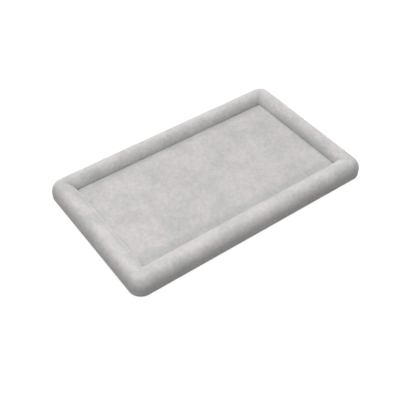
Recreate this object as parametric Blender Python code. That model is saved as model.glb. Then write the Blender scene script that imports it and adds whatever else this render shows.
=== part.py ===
"""Display tray: a low suede-covered tray with a padded half-round rim and a wrapped floor pad.

Metres, +Z up. The origin is on the surface that the tray stands on, under its middle.
+X runs along the long side and +Y towards the back. Every piece follows the tray's rounded
rectangle, so its section is given as stations of inset (how far in from the outer face of the
cover) and height (above the surface that the tray stands on).
"""

import math

import bmesh
import bpy
from mathutils import Vector

MM = 0.001

# Plan of the tray, over its cover
TRAY_LENGTH = 200 * MM
TRAY_WIDTH = 120 * MM
CORNER_RADIUS = 9.7 * MM  # outer corners, seen from above
CREASE_RADIUS = 0.8 * MM  # inner corners, where the cover is folded

# The roll, over its cover
RIM_WIDTH = 16.5 * MM
RIM_RISE = 8.25 * MM  # the round top, above its upright sides
RIM_SIDE_HEIGHT = 2.75 * MM  # the upright sides, above their seat on the base board
HEM_WIDTH = 14.0 * MM  # cover turned under the base, from the outer face
FLANGE_WIDTH = 6.0 * MM  # cover tucked under the floor pad, from the inner face
FLANGE_BEND_RADIUS = 0.4 * MM  # where the cover turns out of the well

# Sheets and boards
COVER_THICKNESS = 0.6 * MM
LINING_THICKNESS = 0.5 * MM
BASE_BOARD_THICKNESS = 2.0 * MM
BASE_BOARD_EDGE_RADIUS = 1.0 * MM  # lower edge, which the cover turns round
RIM_FOAM_THICKNESS = 1.5 * MM
FLOOR_BOARD_THICKNESS = 1.2 * MM
FLOOR_FOAM_THICKNESS = 1.3 * MM
FLOOR_FOAM_EDGE_RADIUS = 0.6 * MM
GLUE_LINE = 0.3 * MM  # clearance between glued pieces

# Floor pad
PAD_CLEARANCE = 0.3 * MM  # between the pad and the roll
PAD_FOLD_RADIUS = 0.5 * MM  # inside the fold of its cover under its board
PAD_HEM_WIDTH = 10.0 * MM

# Lining
LINING_INSET = 5.0 * MM
LINING_SLOPE = 2.0 * MM  # over which it climbs from the hem to the base board

# Mitres of the rails and their foam
MITRE_GAP = 0.3 * MM

# Steps of the round stretches
CORNER_STEPS = 6
CREST_STEPS = 14
INNER_CREST_STEPS = 10
EDGE_STEPS = 3
FOLD_STEPS = 2

# Edges that bend by more than this stay sharp
SHARP_ANGLE = math.radians(40)

# Insets, worked out from the cover inwards
UNDER_COVER = COVER_THICKNESS + GLUE_LINE
UNDER_FOAM = UNDER_COVER + RIM_FOAM_THICKNESS + GLUE_LINE
COVER_EDGE_RADIUS = BASE_BOARD_EDGE_RADIUS + UNDER_COVER
PAD_INSET = RIM_WIDTH + PAD_CLEARANCE
PAD_CORE_INSET = PAD_INSET + UNDER_COVER
PAD_FOLD_OUTER_RADIUS = PAD_FOLD_RADIUS + COVER_THICKNESS
PAD_EDGE_RADIUS = FLOOR_FOAM_EDGE_RADIUS + UNDER_COVER

# Heights, worked out from the layers upwards
HEM_BOTTOM = LINING_THICKNESS + GLUE_LINE
BASE_BOTTOM = HEM_BOTTOM + COVER_THICKNESS + GLUE_LINE
BASE_TOP = BASE_BOTTOM + BASE_BOARD_THICKNESS
RAIL_SEAT = BASE_TOP + GLUE_LINE
RIM_SPRING = RAIL_SEAT + RIM_SIDE_HEIGHT
TRAY_HEIGHT = RIM_SPRING + RIM_RISE
FLANGE_TOP = RAIL_SEAT + COVER_THICKNESS
PAD_BOTTOM = FLANGE_TOP + GLUE_LINE
FLOOR_BOARD_BOTTOM = PAD_BOTTOM + COVER_THICKNESS + GLUE_LINE
FLOOR_BOARD_TOP = FLOOR_BOARD_BOTTOM + FLOOR_BOARD_THICKNESS
FLOOR_FOAM_BOTTOM = FLOOR_BOARD_TOP + GLUE_LINE
FLOOR_FOAM_TOP = FLOOR_FOAM_BOTTOM + FLOOR_FOAM_THICKNESS
FLOOR_TOP = FLOOR_FOAM_TOP + GLUE_LINE + COVER_THICKNESS

# The four sides, each with the direction that it faces
SIDES = {"front": (0, -1), "back": (0, 1), "left": (-1, 0), "right": (1, 0)}

# Directions in a section, as angles from the inset axis, which points into the tray
INWARD = 0.0
UP = math.pi / 2
OUTWARD = math.pi
DOWN = 3 * math.pi / 2


def clear_scene():
    for old in list(bpy.data.objects):
        bpy.data.objects.remove(old)


def material(name, colour, roughness):
    """A Principled material of one colour, with no metal in it."""
    made = bpy.data.materials.new(name)
    made.use_nodes = True
    shader = made.node_tree.nodes["Principled BSDF"]
    shader.inputs["Base Color"].default_value = (*colour, 1.0)
    shader.inputs["Roughness"].default_value = roughness
    shader.inputs["Metallic"].default_value = 0.0
    made.diffuse_color = (*colour, 1.0)
    return made


def arc(centre, radii, start, end, steps):
    """Stations along an arc of a section, from one direction to another.

    The radii are the arc's reach along the inset and its rise in height.
    """
    stations = []
    for step in range(steps + 1):
        angle = start + (end - start) * step / steps
        inset = centre[0] + radii[0] * math.cos(angle)
        height = centre[1] + radii[1] * math.sin(angle)
        stations.append((inset, height))
    return stations


def round_arc(centre, radius, start, end, steps):
    """Stations along a round arc."""
    return arc(centre, (radius, radius), start, end, steps)


def crest(depth, steps):
    """Stations over the roll's round top at a depth below its visible face."""
    radii = (RIM_WIDTH / 2 - depth, RIM_RISE - depth)
    return arc((RIM_WIDTH / 2, RIM_SPRING), radii, OUTWARD, INWARD, steps)


def rounded_rectangle(inset, height):
    """Points of the tray's plan outline, this far in, at this height."""
    radius = max(CORNER_RADIUS - inset, CREASE_RADIUS)
    centre_x = TRAY_LENGTH / 2 - inset - radius
    centre_y = TRAY_WIDTH / 2 - inset - radius
    points = []
    for quarter, (side_x, side_y) in enumerate(((1, 1), (-1, 1), (-1, -1), (1, -1))):
        for step in range(CORNER_STEPS + 1):
            angle = (quarter + step / CORNER_STEPS) * math.pi / 2
            x = side_x * centre_x + radius * math.cos(angle)
            y = side_y * centre_y + radius * math.sin(angle)
            points.append((x, y, height))
    return points


def first_loop(bm, station):
    """Adds the closed loop of edges that one station of a section draws round the tray."""
    verts = [bm.verts.new(point) for point in rounded_rectangle(*station)]
    edges = [bm.edges.new((vert, verts[i - 1])) for i, vert in enumerate(verts)]
    return verts, edges


def extruded_loop(bm, loop, station):
    """Extrudes a loop of edges and moves the new loop to the next station."""
    verts, edges = loop
    made = set(bmesh.ops.extrude_edge_only(bm, edges=edges)["geom"])
    next_verts = []
    for vert, point in zip(verts, rounded_rectangle(*station)):
        linked = (edge.other_vert(vert) for edge in vert.link_edges)
        moved = next(other for other in linked if other in made)
        moved.co = point
        next_verts.append(moved)
    wanted = set(next_verts)
    next_edges = [edge for vert in next_verts for edge in vert.link_edges]
    next_edges = [edge for edge in dict.fromkeys(next_edges) if wanted.issuperset(edge.verts)]
    return next_verts, next_edges


def face_outwards(bm):
    """Turns all faces outwards: a mesh that points inwards has a volume below zero."""
    bmesh.ops.recalc_face_normals(bm, faces=bm.faces)
    if bm.calc_volume(signed=True) < 0:
        bmesh.ops.reverse_faces(bm, faces=bm.faces)


def loft(stations, ring):
    """Extrudes the outline through a section's stations.

    A ring's outline is extruded once more and welded to its first loop. Otherwise the first
    and the last loop are filled, which closes a plate or a wrapped pad.
    """
    bm = bmesh.new()
    first = first_loop(bm, stations[0])
    last = first
    for station in stations[1:]:
        last = extruded_loop(bm, last, station)
    if ring:
        last = extruded_loop(bm, last, stations[0])
        bmesh.ops.weld_verts(bm, targetmap=dict(zip(last[0], first[0])))
    else:
        bmesh.ops.contextual_create(bm, geom=first[1])
        bmesh.ops.contextual_create(bm, geom=last[1])
    face_outwards(bm)
    return bm


def finish_piece(name, bm, finish):
    """Makes the named object of a closed mesh, shaded smooth with its sharp edges kept."""
    mesh = bpy.data.meshes.new(name)
    bm.to_mesh(mesh)
    bm.free()
    mesh.shade_smooth()
    mesh.set_sharp_from_angle(angle=SHARP_ANGLE)
    mesh.materials.append(finish)
    piece = bpy.data.objects.new(name, mesh)
    bpy.context.scene.collection.objects.link(piece)


def wrap(depth, edge_steps, crest_steps):
    """The rim cover's section at a depth below its visible face, from hem to flange."""
    edge_centre = (COVER_EDGE_RADIUS, HEM_BOTTOM + COVER_EDGE_RADIUS)
    edge_radius = COVER_EDGE_RADIUS - depth
    bend_centre = (RIM_WIDTH + FLANGE_BEND_RADIUS, FLANGE_TOP + FLANGE_BEND_RADIUS)
    bend_radius = FLANGE_BEND_RADIUS + depth
    stations = [(HEM_WIDTH, HEM_BOTTOM + depth)]
    stations += round_arc(edge_centre, edge_radius, DOWN, OUTWARD, edge_steps)
    stations += crest(depth, crest_steps)
    stations += round_arc(bend_centre, bend_radius, OUTWARD, DOWN, FOLD_STEPS)
    stations += [(RIM_WIDTH + FLANGE_WIDTH, FLANGE_TOP - depth)]
    return stations


def arch(depth, crest_steps):
    """A line over the roll at a depth below the cover, with its feet on the base board."""
    feet = [(depth, RAIL_SEAT), (RIM_WIDTH - depth, RAIL_SEAT)]
    return feet[:1] + crest(depth, crest_steps) + feet[1:]


def pad_edge(depth, steps):
    """Stations round the floor pad's upper edge at a depth below its cover's face."""
    centre = (PAD_INSET + PAD_EDGE_RADIUS, FLOOR_TOP - PAD_EDGE_RADIUS)
    return round_arc(centre, PAD_EDGE_RADIUS - depth, OUTWARD, UP, steps)


def pad_wrap(depth, edge_steps, fold_steps):
    """The floor cover's section at a depth below its face, from hem to the edge of its top."""
    fold_radius = PAD_FOLD_OUTER_RADIUS - depth
    fold_centre = (PAD_INSET + PAD_FOLD_OUTER_RADIUS, PAD_BOTTOM + PAD_FOLD_OUTER_RADIUS)
    stations = [(PAD_INSET + PAD_HEM_WIDTH, PAD_BOTTOM + depth)]
    stations += round_arc(fold_centre, fold_radius, DOWN, OUTWARD, fold_steps)
    stations += pad_edge(depth, edge_steps)
    return stations


def mitre(bm, side):
    """Cuts one side's length out of a ring, with a mitre through each of its two corners.

    The ring's far half goes first. Each mitre then stands back by half the gap that is left
    between neighbouring lengths.
    """
    out = Vector((*SIDES[side], 0))
    along = Vector((abs(out.y), abs(out.x), 0))
    cuts = [(Vector(), -out)]
    for end in (-along, along):
        normal = (end - out).normalized()
        corner_side = end + out
        corner = Vector((corner_side.x * TRAY_LENGTH / 2, corner_side.y * TRAY_WIDTH / 2, 0))
        cuts.append((corner - normal * MITRE_GAP / 2, normal))
    for point, normal in cuts:
        bmesh.ops.bisect_plane(
            bm,
            geom=bm.verts[:] + bm.edges[:] + bm.faces[:],
            plane_co=point,
            plane_no=normal,
            clear_outer=True,
        )
    open_ends = [edge for edge in bm.edges if edge.is_boundary]
    bmesh.ops.holes_fill(bm, edges=open_ends)
    face_outwards(bm)


def make_rim_cover(finish):
    """One sheet of suede, from the hem under the base, over the roll and under the floor pad."""
    face = wrap(0, EDGE_STEPS, CREST_STEPS)
    back = wrap(COVER_THICKNESS, FOLD_STEPS, INNER_CREST_STEPS)
    finish_piece("rim_cover", loft(face + back[::-1], ring=True), finish)


def make_rim_foam(side, finish):
    """A strip of sponge bent over one moulding, standing on the base board."""
    face = arch(UNDER_COVER, INNER_CREST_STEPS)
    back = arch(UNDER_COVER + RIM_FOAM_THICKNESS, INNER_CREST_STEPS)
    bm = loft(face + back[::-1], ring=True)
    mitre(bm, side)
    finish_piece("rim_foam_" + side, bm, finish)


def make_rim_rail(side, finish):
    """A round-topped moulding glued to the base board."""
    bm = loft(arch(UNDER_FOAM, INNER_CREST_STEPS), ring=True)
    mitre(bm, side)
    finish_piece("rim_rail_" + side, bm, finish)


def make_base_board(finish):
    """The panel under everything, with its lower edge eased for the cover to turn round."""
    centre = (COVER_EDGE_RADIUS, BASE_BOTTOM + BASE_BOARD_EDGE_RADIUS)
    stations = round_arc(centre, BASE_BOARD_EDGE_RADIUS, DOWN, OUTWARD, FOLD_STEPS)
    stations += [(UNDER_COVER, BASE_TOP)]
    finish_piece("base_board", loft(stations, ring=False), finish)


def make_floor_board(finish):
    """The stiff panel of the floor pad."""
    stations = [(PAD_CORE_INSET, FLOOR_BOARD_BOTTOM), (PAD_CORE_INSET, FLOOR_BOARD_TOP)]
    finish_piece("floor_board", loft(stations, ring=False), finish)


def make_floor_foam(finish):
    """The sponge on the floor board, with its upper edge eased."""
    stations = [(PAD_CORE_INSET, FLOOR_FOAM_BOTTOM)] + pad_edge(UNDER_COVER, FOLD_STEPS)
    finish_piece("floor_foam", loft(stations, ring=False), finish)


def make_floor_cover(finish):
    """The suede over the floor pad, turned under its board, open in the middle underneath."""
    face = pad_wrap(0, EDGE_STEPS, FOLD_STEPS)
    back = pad_wrap(COVER_THICKNESS, FOLD_STEPS, FOLD_STEPS)
    finish_piece("floor_cover", loft(face[::-1] + back, ring=False), finish)


def make_bottom_lining(finish):
    """The felt underneath: flat on the hem, and glued up to the base board in the middle."""
    climb_start = HEM_WIDTH + GLUE_LINE
    climb = BASE_BOTTOM - HEM_BOTTOM
    lower = [(LINING_INSET, 0), (climb_start, 0), (climb_start + LINING_SLOPE, climb)]
    upper = [(inset, height + LINING_THICKNESS) for inset, height in lower]
    finish_piece("bottom_lining", loft(lower[::-1] + upper, ring=False), finish)


def build():
    clear_scene()
    suede = material("suede", (0.60, 0.585, 0.575), 0.95)
    felt = material("felt", (0.52, 0.51, 0.50), 0.95)
    sponge = material("sponge", (0.86, 0.85, 0.80), 0.9)
    fibreboard = material("fibreboard", (0.50, 0.36, 0.22), 0.8)
    greyboard = material("greyboard", (0.42, 0.41, 0.39), 0.9)
    make_bottom_lining(felt)
    make_base_board(greyboard)
    for side in SIDES:
        make_rim_rail(side, fibreboard)
        make_rim_foam(side, sponge)
    make_rim_cover(suede)
    make_floor_board(greyboard)
    make_floor_foam(sponge)
    make_floor_cover(suede)


build()
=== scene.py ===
"""Display tray: its suede, sponge, felt and boards, built round the tray's fixed frame.

Metres, +Z up, in the frame's own axes: +X along the long side, +Y to the back, and the origin
on the surface that the tray stands on. The file is laid out as an add-on and run as a script.
"""

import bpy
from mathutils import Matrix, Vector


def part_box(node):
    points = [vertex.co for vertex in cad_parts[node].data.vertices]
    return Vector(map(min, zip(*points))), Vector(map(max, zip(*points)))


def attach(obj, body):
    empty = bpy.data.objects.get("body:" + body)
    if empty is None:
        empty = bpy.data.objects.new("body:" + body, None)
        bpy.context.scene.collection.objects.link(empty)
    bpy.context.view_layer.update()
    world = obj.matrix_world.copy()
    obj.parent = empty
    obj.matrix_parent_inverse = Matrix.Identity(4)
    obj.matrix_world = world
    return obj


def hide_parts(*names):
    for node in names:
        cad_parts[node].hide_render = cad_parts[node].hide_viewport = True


bl_info = {
    "name": "Display Tray",
    "version": (1, 0, 0),
    "blender": (4, 5, 0),
    "location": "3D View > Sidebar > Display Tray",
    "description": "Builds the suede, sponge, felt and boards of a display tray",
    "category": "Object",
}

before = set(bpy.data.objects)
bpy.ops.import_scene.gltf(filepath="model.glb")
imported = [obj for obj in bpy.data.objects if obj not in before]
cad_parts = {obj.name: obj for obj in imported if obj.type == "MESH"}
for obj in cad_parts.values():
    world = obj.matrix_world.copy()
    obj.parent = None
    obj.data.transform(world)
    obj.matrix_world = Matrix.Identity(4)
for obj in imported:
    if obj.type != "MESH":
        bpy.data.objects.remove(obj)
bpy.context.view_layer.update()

import math

import bpy
import numpy as np
from mathutils import Vector

MM = 0.001

# Where the frame's nodes lie
COVER_LOW, COVER_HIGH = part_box("rim_cover")
PAD_LOW, PAD_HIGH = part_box("floor_cover")
LINING_LOW, LINING_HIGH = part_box("bottom_lining")
STRIP_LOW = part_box("rim_foam_front")[0]
FLOOR_FOAM_LOW, FLOOR_FOAM_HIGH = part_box("floor_foam")

LENGTH = COVER_HIGH.x - COVER_LOW.x
WIDTH = COVER_HIGH.y - COVER_LOW.y

# How far in from the tray's outline the inner pieces start
PAD_INSET = PAD_LOW.x - COVER_LOW.x
LINING_INSET = LINING_LOW.x - COVER_LOW.x
STRIP_INSET = STRIP_LOW.y - COVER_LOW.y
FLOOR_FOAM_INSET = FLOOR_FOAM_LOW.x - COVER_LOW.x

# The four sides, counter-clockwise from above, each with the direction that it faces
SIDES = {"front": (0, -1), "right": (1, 0), "back": (0, 1), "left": (-1, 0)}

# Directions in a section, as angles from the inset axis, which points into the tray
INWARD, UP, OUTWARD, DOWN = 0.0, math.pi / 2, math.pi, 3 * math.pi / 2

# Steps of the grids
LONG_STEPS = 130
SHORT_STEPS = 90
HALF_CORNER_STEPS = 10
CROWDING = 0.8  # how much closer the steps lie at the ends of a side than at its middle
FLAT_RIM = 2 * MM  # width of the finer rim of a flat face, on the floor's sponge and the felt

# The waves of unevenness: how many sines, their lengths as shares of the wavelength, and what
# their mean is multiplied by to lie between about -1 and 1
WAVE_COUNT = 9
WAVE_SHARES = (0.6, 1.6)
WAVE_GAIN = 1.6

# The cloth is worked out at ten times its size, where Blender's solver holds up
CLOTH_SCALE = 10
CLOTH_FRAMES = 20
LOOSE_STEPS = 8


def a_length(name, description, default):
    """A length, shown in the scene's unit."""
    return bpy.props.FloatProperty(
        name=name, description=description, default=default, unit="LENGTH",
        subtype="DISTANCE", precision=5)


def an_angle(name, description, degrees):
    """An angle, shown in the scene's unit."""
    return bpy.props.FloatProperty(
        name=name, description=description, default=math.radians(degrees),
        unit="ROTATION", subtype="ANGLE")


def a_share(name, description, default, most=1.0):
    """A plain number from 0 to its most."""
    return bpy.props.FloatProperty(
        name=name, description=description, default=default, min=0, max=most)


def a_colour(name, description, default):
    """A colour, as linear red, green and blue."""
    return bpy.props.FloatVectorProperty(
        name=name, description=description, default=default, size=3, subtype="COLOR",
        min=0, max=1)


class TraySizes(bpy.types.PropertyGroup):
    """The sizes of the soft pieces, which fit the frame."""

    corner_radius: a_length("Corner radius", "Outer corners of the rim, from above", 9.7 * MM)
    crease_radius: a_length("Crease radius", "Inner corners, where the cover folds", 0.8 * MM)
    rim_width: a_length("Rim width", "Width of the padded roll over its cover", 16.5 * MM)
    rim_rise: a_length("Rim rise", "Height of the roll's round top over its sides", 8.25 * MM)
    hem_width: a_length("Hem width", "Cover turned under, from the outer face", 14.0 * MM)
    edge_radius: a_length("Lower edge radius", "Where the cover turns round the base", 1.9 * MM)
    flange_width: a_length("Flange width", "Cover tucked under the floor pad", 6.0 * MM)
    flange_bend: a_length("Flange bend", "Radius where the cover leaves the well", 0.4 * MM)
    flange_top: a_length("Flange height", "Top of the tucked cover over the table", 4.6 * MM)
    cover_thickness: a_length("Suede thickness", "Thickness of the suede", 0.6 * MM)
    pad_hem: a_length("Pad hem", "Cover turned under the floor pad", 10.0 * MM)
    pad_fold: a_length("Pad fold radius", "Lower edge of the floor pad", 1.1 * MM)
    pad_edge: a_length("Pad edge radius", "Upper edge of the floor pad", 0.25 * MM)
    pad_press: a_length("Pad press", "How far the pad presses the rolls in", 0.25 * MM)
    pad_clearance: a_length("Pad clearance", "Between a pressed roll and the pad", 0.05 * MM)
    padding_thickness: a_length("Padding thickness", "Sponge over the rails", 1.5 * MM)
    sponge_edge: a_length("Sponge edge radius", "Upper edge of the floor's sponge", 0.6 * MM)
    lining_thickness: a_length("Felt thickness", "Thickness of the felt underneath", 0.5 * MM)
    lining_slope: a_length("Felt slope", "Width over which the felt climbs", 2.0 * MM)
    glue_line: a_length("Glue line", "Clearance between glued layers", 0.3 * MM)


class TrayFolds(bpy.types.PropertyGroup):
    """How the suede lies: its unevenness, creases, puckers and gathers, and its painted shade and
    highlights.
    """

    unevenness: a_length("Unevenness", "Slight waviness of the padded surfaces", 0.05 * MM)
    unevenness_length: a_length("Unevenness length", "From one wave to the next", 26.0 * MM)
    crease_depth: a_length("Crease depth", "Of the folds at the inner corners", 0.9 * MM)
    crease_width: a_length("Crease width", "Drawn-in stretch beside such a fold", 1.8 * MM)
    fold_room: a_length("Room at a fold", "How much further in the sponge goes", 0.52 * MM)
    # Painted shade in the folds at the inner corners
    fold_painted_shade: a_share("Fold shade", "How dark the nap lies in the folds", 1.3, most=5)
    pucker_height: a_length("Pucker height", "Of small folds at an inner corner", 0.07 * MM)
    pucker_length: a_length("Pucker length", "From one small fold to the next", 2.1 * MM)
    pucker_reach: a_length("Pucker reach", "How far the small folds run on", 3.2 * MM)
    pad_sink: a_length("Pad sink", "How far the pad's face is drawn down at its edges", 0.9 * MM)
    pad_sink_width: a_length("Pad sink width", "Over which it comes up again", 2.4 * MM)
    shoulder_depth: a_length("Shoulder crease", "Depth along the left roll", 0.2 * MM)
    shoulder_width: a_length("Shoulder crease width", "From its middle to its side", 0.9 * MM)
    shoulder_angle: an_angle("Shoulder crease angle", "Up from the roll's inner side", 59)
    # Painted shade along the left roll's shoulder crease
    shoulder_painted_shade: a_share("Shoulder shade", "How dark the nap lies there", 0.3, most=5)
    # A painted highlight line beside that crease: where it lies, its width and how light it is;
    # the ridge has no shape of its own
    ridge_angle: an_angle("Ridge angle", "Where the ridge beside that crease lies", 36)
    ridge_width: a_length("Ridge width", "From the ridge's middle to its side", 1.5 * MM)
    ridge_painted_highlight: a_share("Ridge light", "How light the ridge's nap is rubbed", 1.3, most=5)
    cloth_push: a_share("Cloth push", "Pressure while the suede settles", 4.0, most=100)
    cloth_looseness: a_share("Cloth looseness", "How much larger it is cut", 0.03, most=0.2)
    cloth_reach: a_length("Looseness reach", "How far from a corner it is loose", 7.0 * MM)
    cloth_most: a_length("Most movement", "The most that the suede settles", 0.35 * MM)
    gather_height: a_length("Gather height", "Of the hem's pleats at the corners", 0.22 * MM)
    gather_count: bpy.props.IntProperty(
        name="Gathers", description="Pleats in the hem at each corner", default=7, min=1)


class TrayFinish(bpy.types.PropertyGroup):
    """The colours of the tray's materials and the scale of their grain, and how strong the suede's
    painted sheen and painted light and shade are.
    """

    suede_warm: a_colour("Suede, raised nap", "Where the nap stands up", (0.591, 0.558, 0.553))
    # The cool colour also tints the suede's painted shade
    suede_cool: a_colour("Suede, laid nap", "Where it is brushed down", (0.559, 0.552, 0.545))
    felt: a_colour("Felt", "Colour of the felt underneath", (0.52, 0.51, 0.50))
    sponge: a_colour("Sponge", "Colour of the padding", (0.86, 0.85, 0.80))
    fibreboard: a_colour("Fibreboard", "Colour of the rails", (0.50, 0.36, 0.22))
    greyboard: a_colour("Greyboard", "Colour of the two boards", (0.42, 0.41, 0.39))
    patch_length: a_length("Nap patches", "Width of the warm and cool patches", 9.0 * MM)
    cloud_length: a_length("Nap clouds", "Width of the light and dark clouds", 15.0 * MM)
    brushing: an_angle("Brushing", "The way of the nap, from the tray's back", -35)
    tuft_length: a_length("Nap tufts", "Width of the tufts inside the clouds", 2.6 * MM)
    grain_length: a_length("Grain", "Width of the suede's finest grain", 0.45 * MM)
    sheen: a_share("Sheen", "Brightness of the nap at a glancing angle", 0.45)
    # A painted sheen: how much lighter the suede is made at glancing angles
    painted_sheen: a_share("Light tips", "How much lighter the nap's tips are, seen edge-on", 0.12)
    # How strong the painted light and shade of the rolls and pad are
    painted_light_gain: a_share("Rubbed crown", "How much lighter the rubbed nap is on the roll", 0.12)


class TrayStage(bpy.types.PropertyGroup):
    """The camera and the light."""

    azimuth: an_angle("Camera azimuth", "0 looks along +Y, 90 along -X", -35.933)
    elevation: an_angle("Camera elevation", "Angle over the horizon", 45.637)
    distance: a_length("Camera distance", "From the point that it looks at", 521.15 * MM)
    target: bpy.props.FloatVectorProperty(
        name="Camera target", description="The point that the camera looks at",
        default=(-14.064 * MM, -9.506 * MM, 0.8 * MM), size=3, subtype="XYZ",
        unit="LENGTH", precision=5)
    lens: bpy.props.FloatProperty(
        name="Focal length", description="In millimetres, for a sensor 36 mm wide",
        default=64.83, min=1)
    floor_colour: a_colour("Floor", "Colour of the floor that lights the tray", (0.45, 0.45, 0.45))
    shadow_share: a_share("Shadow share", "How much white the shadow takes away", 0.06)
    room_light: a_share("Room light", "Strength of the even light from all around", 0.0)


def sizes():
    """The values of TraySizes."""
    return bpy.context.scene.display_tray_sizes


def folds():
    """The values of TrayFolds."""
    return bpy.context.scene.display_tray_folds


def finish():
    """The values of TrayFinish."""
    return bpy.context.scene.display_tray_finish


def arc(centre, radii, start, end, steps):
    """Stations (inset, height) on an arc: the centre plus the radii times cosine and sine."""
    angle = np.linspace(start, end, steps + 1)
    return centre + np.multiply(radii, np.stack([np.cos(angle), np.sin(angle)], 1))


def section(first, *stretches):
    """A section's stations: stretches joined end to end, each (stations or point, steps).

    The line to a stretch is divided evenly into its steps: start + share times (end - start).
    """
    stations = np.atleast_2d(first)
    for points, steps in stretches:
        points = np.atleast_2d(points)
        share = np.linspace(0, 1, steps + 1)[1:-1, None]
        between = stations[-1] + share * (points[0] - stations[-1])
        stations = np.concatenate([stations, between, points])
    return stations


def crowded(steps):
    """Shares from -1 to 1, closer together at both ends: t - crowding x sin(2 pi t) / 2 pi."""
    t = np.linspace(0, 1, steps + 1)
    return 2 * (t - CROWDING * np.sin(2 * np.pi * t) / (2 * np.pi)) - 1


def side_grid(side, stations, trim=0.0):
    """A section carried along one side, from mitre to mitre, as a (stations, steps, 3) grid.

    The corner radius is the outer radius less the inset, and no less than the crease radius.
    Along the side a point lies at share x (half length - inset - radius) + radius x sin(angle),
    and outwards at half width - inset - radius + radius x cos(angle): the share runs from -1 to
    1 on the straight, and the angle from -45 to 0 degrees before it and to 45 after it. A trim
    draws both ends in by that length.
    """
    out = np.array((*SIDES[side], 0.0))
    along = np.array((-out[1], out[0], 0.0))
    half_along, half_out = (LENGTH / 2, WIDTH / 2) if out[1] else (WIDTH / 2, LENGTH / 2)
    bend = np.linspace(0, math.pi / 4, HALF_CORNER_STEPS + 1)[1:]
    straight = crowded(LONG_STEPS if out[1] else SHORT_STEPS)
    share = np.concatenate([-np.ones(bend.size), straight, np.ones(bend.size)])
    angle = np.concatenate([-bend[::-1], np.zeros(straight.size), bend])
    inset = stations[:, :1]
    radius = np.maximum(sizes().corner_radius - inset, sizes().crease_radius)
    run = share * (half_along - inset - radius) + radius * np.sin(angle)
    run = run * (1 - trim / half_along)
    reach = half_out - inset - radius + radius * np.cos(angle)
    grid = run[..., None] * along + reach[..., None] * out
    grid[..., 2] = stations[:, 1:]
    return grid


def ring_grid(stations):
    """A section carried round all four sides, as a grid whose last column meets its first."""
    return np.concatenate([side_grid(side, stations)[:, :-1] for side in SIDES], axis=1)


def numbered(grid):
    """The numbers of a grid's vertices, row by row."""
    return np.arange(grid.shape[0] * grid.shape[1]).reshape(grid.shape[:2])


def grid_quads(index):
    """The quads of a grid of vertex numbers, facing along row direction x column direction."""
    return np.stack(
        [index[:-1, :-1], index[:-1, 1:], index[1:, 1:], index[1:, :-1]], -1).reshape(-1, 4)


def ring_quads(index):
    """The quads of a ring grid, with its last column joined to its first."""
    return grid_quads(np.concatenate([index, index[:, :1]], 1))


def grid_normals(grid):
    """Unit normals of a ring grid: the step round the tray times the step along the section."""
    round_step = np.roll(grid, -1, 1) - np.roll(grid, 1, 1)
    normal = np.cross(round_step, np.gradient(grid, axis=0))
    return normal / np.linalg.norm(normal, axis=-1, keepdims=True)


def cap(loop, numbers, first_number):
    """Fills a closed loop with a grid: (new points, the grid of vertex numbers).

    The loop's four sides bound a Coons patch: each inner point is the blend of the two points
    across plus the blend of the two points along, less the blend of the four corners.
    """
    columns = LONG_STEPS + 2 * HALF_CORNER_STEPS
    rows = SHORT_STEPS + 2 * HALF_CORNER_STEPS
    ends = np.cumsum([0, columns, rows, columns, rows])
    closed = np.concatenate([loop, loop[:1]])
    names = np.concatenate([numbers, numbers[:1]])
    front, right, back, left = (slice(a, b + 1) for a, b in zip(ends[:-1], ends[1:]))
    low, high = closed[front], closed[back][::-1]
    near, far = closed[left][::-1], closed[right]
    u = ((low[:, 0] - low[0, 0]) / (low[-1, 0] - low[0, 0]))[None, :, None]
    v = ((near[:, 1] - near[0, 1]) / (near[-1, 1] - near[0, 1]))[:, None, None]
    across = (1 - v) * low[None] + v * high[None]
    along = (1 - u) * near[:, None] + u * far[:, None]
    corners = (1 - v) * ((1 - u) * low[0] + u * low[-1]) + v * ((1 - u) * high[0] + u * high[-1])
    filled = (across + along - corners)[1:-1, 1:-1].reshape(-1, 3)
    index = np.empty((rows + 1, columns + 1), int)
    index[0], index[-1] = names[front], names[back][::-1]
    index[:, 0], index[:, -1] = names[left][::-1], names[right]
    index[1:-1, 1:-1] = first_number + np.arange(len(filled)).reshape(rows - 1, columns - 1)
    return filled, index


def sheet_mesh(stations):
    """Points and quads of a section carried round the tray, with both its ends filled."""
    grid = ring_grid(stations)
    index = numbered(grid)
    points, quads, count = [grid.reshape(-1, 3)], [ring_quads(index)], index.size
    for row, turn in ((0, -1), (-1, 1)):
        filled, inner = cap(grid[row], index[row], count)
        points.append(filled)
        quads.append(grid_quads(inner)[:, ::turn])
        count += len(filled)
    return np.concatenate(points), np.concatenate(quads)


def waves(points, wavelength, seed):
    """Smooth unevenness, about -1 to 1: the mean of sines that run in random directions."""
    rng = np.random.default_rng(seed)
    direction = rng.normal(size=(WAVE_COUNT, 3))
    direction /= np.linalg.norm(direction, axis=1, keepdims=True)
    length = wavelength * rng.uniform(*WAVE_SHARES, (WAVE_COUNT, 1))
    phase = rng.uniform(0, 2 * np.pi, WAVE_COUNT)
    return WAVE_GAIN * np.sin(points @ (2 * np.pi * direction / length).T + phase).mean(-1)


def smooth_step(value, low, high):
    """0 below low, 1 above high, and t x t x (3 - 2 t) between them."""
    t = np.clip((value - low) / (high - low), 0, 1)
    return t * t * (3 - 2 * t)


def bell(distance, width):
    """1 at no distance, and less beyond: exp(-(distance / width)^2)."""
    return np.exp(-((distance / width) ** 2))


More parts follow.
